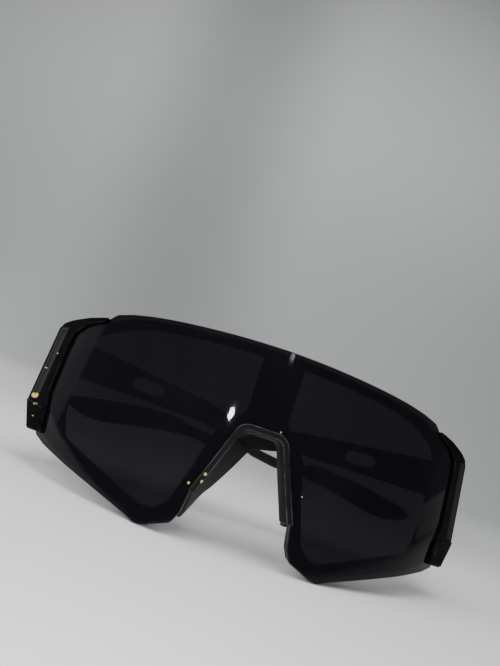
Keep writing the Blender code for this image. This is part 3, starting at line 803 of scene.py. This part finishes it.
def handling_marks():
    """Smudges from fingers and short hairline scratches, each as a mask."""
    made, source, result = new_group("handling_marks", {"Scale": SMUDGE_SCALE},
                                     ["Smudge", "Scratch"])
    place = object_place(made)
    cloud = put(made, "ShaderNodeTexNoise", {"Vector": place, "Scale": source.outputs["Scale"],
                                             "Detail": 4.0, "Distortion": 0.6})
    made.links.new(between(made, cloud.outputs[0], *SMUDGE_PEAKS), result.inputs["Smudge"])
    masks = []
    for turn, fineness in HAIRLINES:
        turned = put(made, "ShaderNodeMapping", {"Vector": place, "Rotation": turn,
                                                 "Scale": fineness})
        noise = put(made, "ShaderNodeTexNoise", {"Vector": turned.outputs[0], "Scale": 1.0,
                                                 "Detail": 1.0})
        masks.append(between(made, noise.outputs[0], *HAIRLINE_PEAKS))
    made.links.new(calc(made, "MAXIMUM", *masks), result.inputs["Scratch"])
    return made


def stray_dust():
    """Tiny specks in some cells of a loose grid, as a mask."""
    made, source, result = new_group("stray_dust", {"Scale": DUST_SCALE, "Amount": 0.1},
                                     ["Mask"])
    cells = put(made, "ShaderNodeTexVoronoi", {"Vector": object_place(made),
                                               "Scale": source.outputs["Scale"]})
    pick = put(made, "ShaderNodeSeparateColor", {"Color": cells.outputs["Color"]})
    chosen = calc(made, "LESS_THAN", pick.outputs[0], source.outputs["Amount"])
    radius = calc(made, "MULTIPLY", pick.outputs[1], SPECK_REACH)
    near = calc(made, "LESS_THAN", cells.outputs["Distance"], radius)
    made.links.new(calc(made, "MULTIPLY", chosen, near), result.inputs["Mask"])
    return made


def edge_wear_and_highlight_mask():
    """The marked edges, broken up by noise, as a mask for edge wear and painted highlight."""
    made, source, result = new_group("edge_wear_and_highlight_mask", {"Scale": EDGE_MARK_SCALE}, ["Mask"])
    marked = put(made, "ShaderNodeAttribute", attribute_name="edge").outputs["Fac"]
    noise = put(made, "ShaderNodeTexNoise", {"Vector": object_place(made),
                                             "Scale": source.outputs["Scale"],
                                             "Detail": 3.0})
    broken = between(made, noise.outputs[0], *EDGE_MARK_PEAKS)
    made.links.new(calc(made, "MULTIPLY", marked, broken), result.inputs["Mask"])
    return made


def use(tree, group, values):
    made = put(tree, "ShaderNodeGroup", node_tree=group)
    for label, value in values.items():
        made.inputs[label].default_value = value
    return made


def surface(groups, name, tones, rough, grain, height, dust, edge_wear_and_highlight=None, metallic=0.0,
            specular=0.5, ior=1.5, scratch=0.18, alpha=1.0):
    """A finish: two tones in slow clouds, smudges, grain, dust and perhaps lighter edges: a
    painted highlight on the saddle, wear on the others.
    """
    look = bpy.data.materials.new(name)
    look.use_nodes = True
    tree = look.node_tree
    shader = tree.nodes["Principled BSDF"]
    constants = {"Metallic": metallic, "Specular IOR Level": specular, "IOR": ior,
                 "Alpha": alpha}
    for label, value in constants.items():
        shader.inputs[label].default_value = value
    marks = use(tree, groups["marks"], {"Scale": SMUDGE_SCALE})
    skin = use(tree, groups["grain"], {"Scale": grain})
    specks = use(tree, groups["dust"], {"Scale": DUST_SCALE, "Amount": dust})
    tone = blend_colour(tree, marks.outputs["Smudge"], *tones)
    # Lighter edges: a painted highlight on the saddle, edge wear on the others.
    if edge_wear_and_highlight:
        edges = use(tree, groups["edge_wear_and_highlight"], {"Scale": EDGE_MARK_SCALE})
        tone = blend_colour(tree, edges.outputs["Mask"], tone, edge_wear_and_highlight)
    tone = blend_colour(tree, specks.outputs["Mask"], tone, DUST_COLOUR)
    tree.links.new(tone, shader.inputs["Base Color"])
    smudged = put(tree, "ShaderNodeMapRange", {"Value": marks.outputs["Smudge"],
                                               "To Min": rough[0], "To Max": rough[1]})
    scratched = calc(tree, "MULTIPLY", marks.outputs["Scratch"], scratch)
    total = calc(tree, "ADD", smudged.outputs[0], scratched)
    tree.links.new(total, shader.inputs["Roughness"])
    bump = put(tree, "ShaderNodeBump", {"Strength": 1.0, "Distance": height,
                                        "Height": skin.outputs["Height"]})
    tree.links.new(bump.outputs[0], shader.inputs["Normal"])
    return look


def paint_over(tree, share, colour):
    """Lays a colour over the finish's base colour, by a share from 0 to 1."""
    base = tree.nodes["Principled BSDF"].inputs["Base Color"]
    tone = blend_colour(tree, share, base.links[0].from_socket, colour)
    tree.links.new(tone, base)


def lay_fleck(tree, place, centre, reach, colour):
    """Lays a bright fleck over the finish: an oval about a centre in the place's axes."""
    off = put(tree, "ShaderNodeVectorMath", {0: place, 1: centre}, operation="SUBTRACT")
    scaled = put(tree, "ShaderNodeVectorMath", {0: off.outputs[0], 1: reach},
                 operation="DIVIDE")
    size = put(tree, "ShaderNodeVectorMath", {0: scaled.outputs[0]}, operation="LENGTH")
    paint_over(tree, between(tree, size.outputs["Value"], *FLECK_FADE), colour)


def paint_strip(look):
    """A dark grey satin strip down the outer half of the end piece's face, and its flecks."""
    tree = look.node_tree
    flat = put(tree, "ShaderNodeAttribute", attribute_name="flat").outputs["Vector"]
    across, height, depth = parts_of(tree, flat)
    inset = calc(tree, "SUBTRACT", RAIL_HALF_WIDTH, calc(tree, "ABSOLUTE", across))
    share = between(tree, depth, *STRIP_DEPTH)
    for value, ends in ((inset, STRIP_OUTER), (inset, STRIP_INNER), (height, STRIP_FOOT),
                        (height, STRIP_HEAD)):
        share = calc(tree, "MULTIPLY", share, between(tree, value, *ends))
    paint_over(tree, share, STRIP_COLOUR)
    for fleck in RAIL_FLECKS:
        lay_fleck(tree, flat, *fleck)


def darken_up(look):
    """Darkens the soft grey towards its top, where little light gets in under the bridge."""
    tree = look.node_tree
    height = parts_of(tree, object_place(tree))["Z"]
    paint_over(tree, between(tree, height, *WING_SHADE_HEIGHTS), WING_SHADE)


def make_looks():
    groups = {"grain": moulded_grain(), "marks": handling_marks(), "dust": stray_dust(),
              "edge_wear_and_highlight": edge_wear_and_highlight_mask()}
    looks = {key: surface(groups, **finish) for key, finish in FINISHES.items()}
    paint_strip(looks["satin"])
    darken_up(looks["grey"])
    for key, centre, size, colour in LOOSE_FLECKS:
        tree = looks[key].node_tree
        lay_fleck(tree, object_place(tree), centre, (size, size, size), colour)
    return looks


def dress_hinges(looks):
    """Leaves, screws and rivets are shown as the solids themselves, in steel."""
    for name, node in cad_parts.items():
        if name.startswith("hinge"):
            node.data.materials.clear()
            node.data.materials.append(looks["steel"])


# The set

def make_camera():
    """The photo's place and angle against the front."""
    axes = Matrix((CAMERA_RIGHT, CAMERA_DOWN, CAMERA_AHEAD)).transposed()
    spot = Vector((0, 0, FIT_HEIGHT)) - axes @ CAMERA_SHIFT
    data = bpy.data.cameras.new("camera")
    data.sensor_fit = "VERTICAL"
    data.sensor_height = SENSOR_HEIGHT
    data.lens = SENSOR_HEIGHT * PHOTO_FOCAL / PHOTO_HEIGHT
    data.clip_start = 0.005
    made = bpy.data.objects.new("camera", data)
    bpy.context.scene.collection.objects.link(made)
    # A camera in Blender looks along its own -z, with y up
    flip = Matrix(((1, 0, 0), (0, -1, 0), (0, 0, -1)))
    turn = Matrix.Rotation(-STANCE_LEAN, 3, "X") @ axes @ flip
    made.matrix_world = Matrix.Translation(to_world(spot)) @ turn.to_4x4()
    bpy.context.scene.camera = made


def backdrop_look():
    """Pale with soft clouds, with painted shade further back, painted light up the wall, and a
    band of painted shade where the photo has its corner.
    """
    look = bpy.data.materials.new("pale_backdrop")
    look.use_nodes = True
    tree = look.node_tree
    shader = tree.nodes["Principled BSDF"]
    shader.inputs["Roughness"].default_value = 0.9
    shader.inputs["Specular IOR Level"].default_value = 0.15
    place = object_place(tree)
    across, back, up = parts_of(tree, place)
    cloud = put(tree, "ShaderNodeTexNoise", {"Vector": place, "Scale": 6.0, "Detail": 5.0})
    tone = blend_colour(tree, cloud.outputs[0], *FLOOR_TONES)
    # Painted shade: greyer further back.
    away = calc(tree, "ADD", back, calc(tree, "MULTIPLY", across, FAR_SHADE_SLANT))
    tone = blend_colour(tree, between(tree, away, *FAR_SHADE_FADE), tone, FAR_SHADE_TONE)
    # Painted light: lighter up the wall.
    tone = blend_colour(tree, between(tree, up, *WALL_LIGHT_FADE), tone, WALL_LIGHT_TONE)
    # Painted shade: a darker band down the middle.
    slant = calc(tree, "ADD", across, calc(tree, "MULTIPLY", back, SHADE_BAND_SLANT))
    apart = calc(tree, "ABSOLUTE", calc(tree, "SUBTRACT", slant, SHADE_BAND_MIDDLE))
    shade_band = calc(tree, "MULTIPLY", between(tree, apart, *SHADE_BAND_FADE),
               between(tree, back, *SHADE_BAND_START))
    share = calc(tree, "MULTIPLY", shade_band, SHADE_BAND_STRENGTH)
    tone = blend_colour(tree, share, tone, SHADE_BAND_TONE)
    tree.links.new(tone, shader.inputs["Base Color"])
    return look


def make_backdrop():
    """A pale floor that turns up smoothly into a wall, clear of the opened arms."""
    bm = bmesh.new()
    first = bm.verts.new((-FLOOR_REACH, -FLOOR_REACH, 0))
    second = bm.verts.new((-FLOOR_REACH, TURN_START, 0))
    bm.edges.new((first, second))
    turn = bmesh.ops.spin(bm, geom=[second], cent=(-FLOOR_REACH, TURN_START, TURN_RADIUS),
                          axis=(1, 0, 0), angle=pi / 2, steps=TURN_STEPS)["geom_last"]
    top = [item for item in turn if isinstance(item, bmesh.types.BMVert)][0]
    last = bm.verts.new((-FLOOR_REACH, TURN_START + TURN_RADIUS, WALL_TOP))
    bm.edges.new((top, last))
    grown = bmesh.ops.extrude_edge_only(bm, edges=bm.edges[:])["geom"]
    moved = [item for item in grown if isinstance(item, bmesh.types.BMVert)]
    bmesh.ops.translate(bm, verts=moved, vec=(FLOOR_REACH * 2, 0, 0))
    bmesh.ops.recalc_face_normals(bm, faces=bm.faces[:])
    for face in bm.faces:
        face.smooth = True
    mesh = bpy.data.meshes.new("backdrop")
    bm.to_mesh(mesh)
    bm.free()
    floor = bpy.data.objects.new("backdrop", mesh)
    bpy.context.scene.collection.objects.link(floor)
    mesh.materials.append(backdrop_look())


def area_light(name, place, target, size, power, glossy=False, shape="RECTANGLE",
               height=None):
    data = bpy.data.lights.new(name, "AREA")
    data.shape = shape
    data.size = size
    data.size_y = height or size
    data.energy = power
    made = bpy.data.objects.new(name, data)
    bpy.context.scene.collection.objects.link(made)
    made.location = place
    made.rotation_euler = (Vector(target) - Vector(place)).to_track_quat("-Z", "Y").to_euler()
    made.visible_camera = False
    made.visible_glossy = glossy


def make_lights():
    """Two soft lamps and a faint sky, and weak lamps for the glints in the photo."""
    world = bpy.data.worlds.new("world")
    bpy.context.scene.world = world
    world.use_nodes = True
    sky = world.node_tree.nodes["Background"]
    sky.inputs["Color"].default_value = (0.93, 0.96, 1, 1)
    sky.inputs["Strength"].default_value = 0.10
    area_light("soft_top", (0.1, -0.2, 1.2), (0, 0.1, 0), size=1.2, power=16)
    area_light("soft_left", (-0.9, -0.35, 0.7), (-0.1, 0.05, 0), size=0.8, power=9)
    glint = bend(*FLASH_GLINT, 0)
    area_light("small_flash", to_world(FLASH_PLACE), glint, size=0.0075, power=0.05,
               glossy=True, shape="DISK")
    area_light("front_fill", to_world(FILL_PLACE), glint, size=0.020, power=0.07)
    area_light("brow_glint", (0.083, -0.564, 0.296), BROW, size=0.019, power=0.016,
               glossy=True, height=0.012)
    area_light("left_glow", (-0.80, 0.34, 0.28), MIDDLE, size=0.7, power=0.65, glossy=True)
    area_light("right_glow", (0.93, 0.30, 0.045), MIDDLE, size=0.45, power=0.022,
               glossy=True, height=0.07)


def main():
    looks = make_looks()
    make_lens(looks)
    make_rim(looks)
    make_nose_piece(looks)
    for side in (-1, 1):
        make_rail(side, looks)
        make_pad(side, looks)
        make_arm(side, looks)
        make_sleeve(side, looks)
    dress_hinges(looks)
    make_backdrop()
    make_lights()
    make_camera()


main()
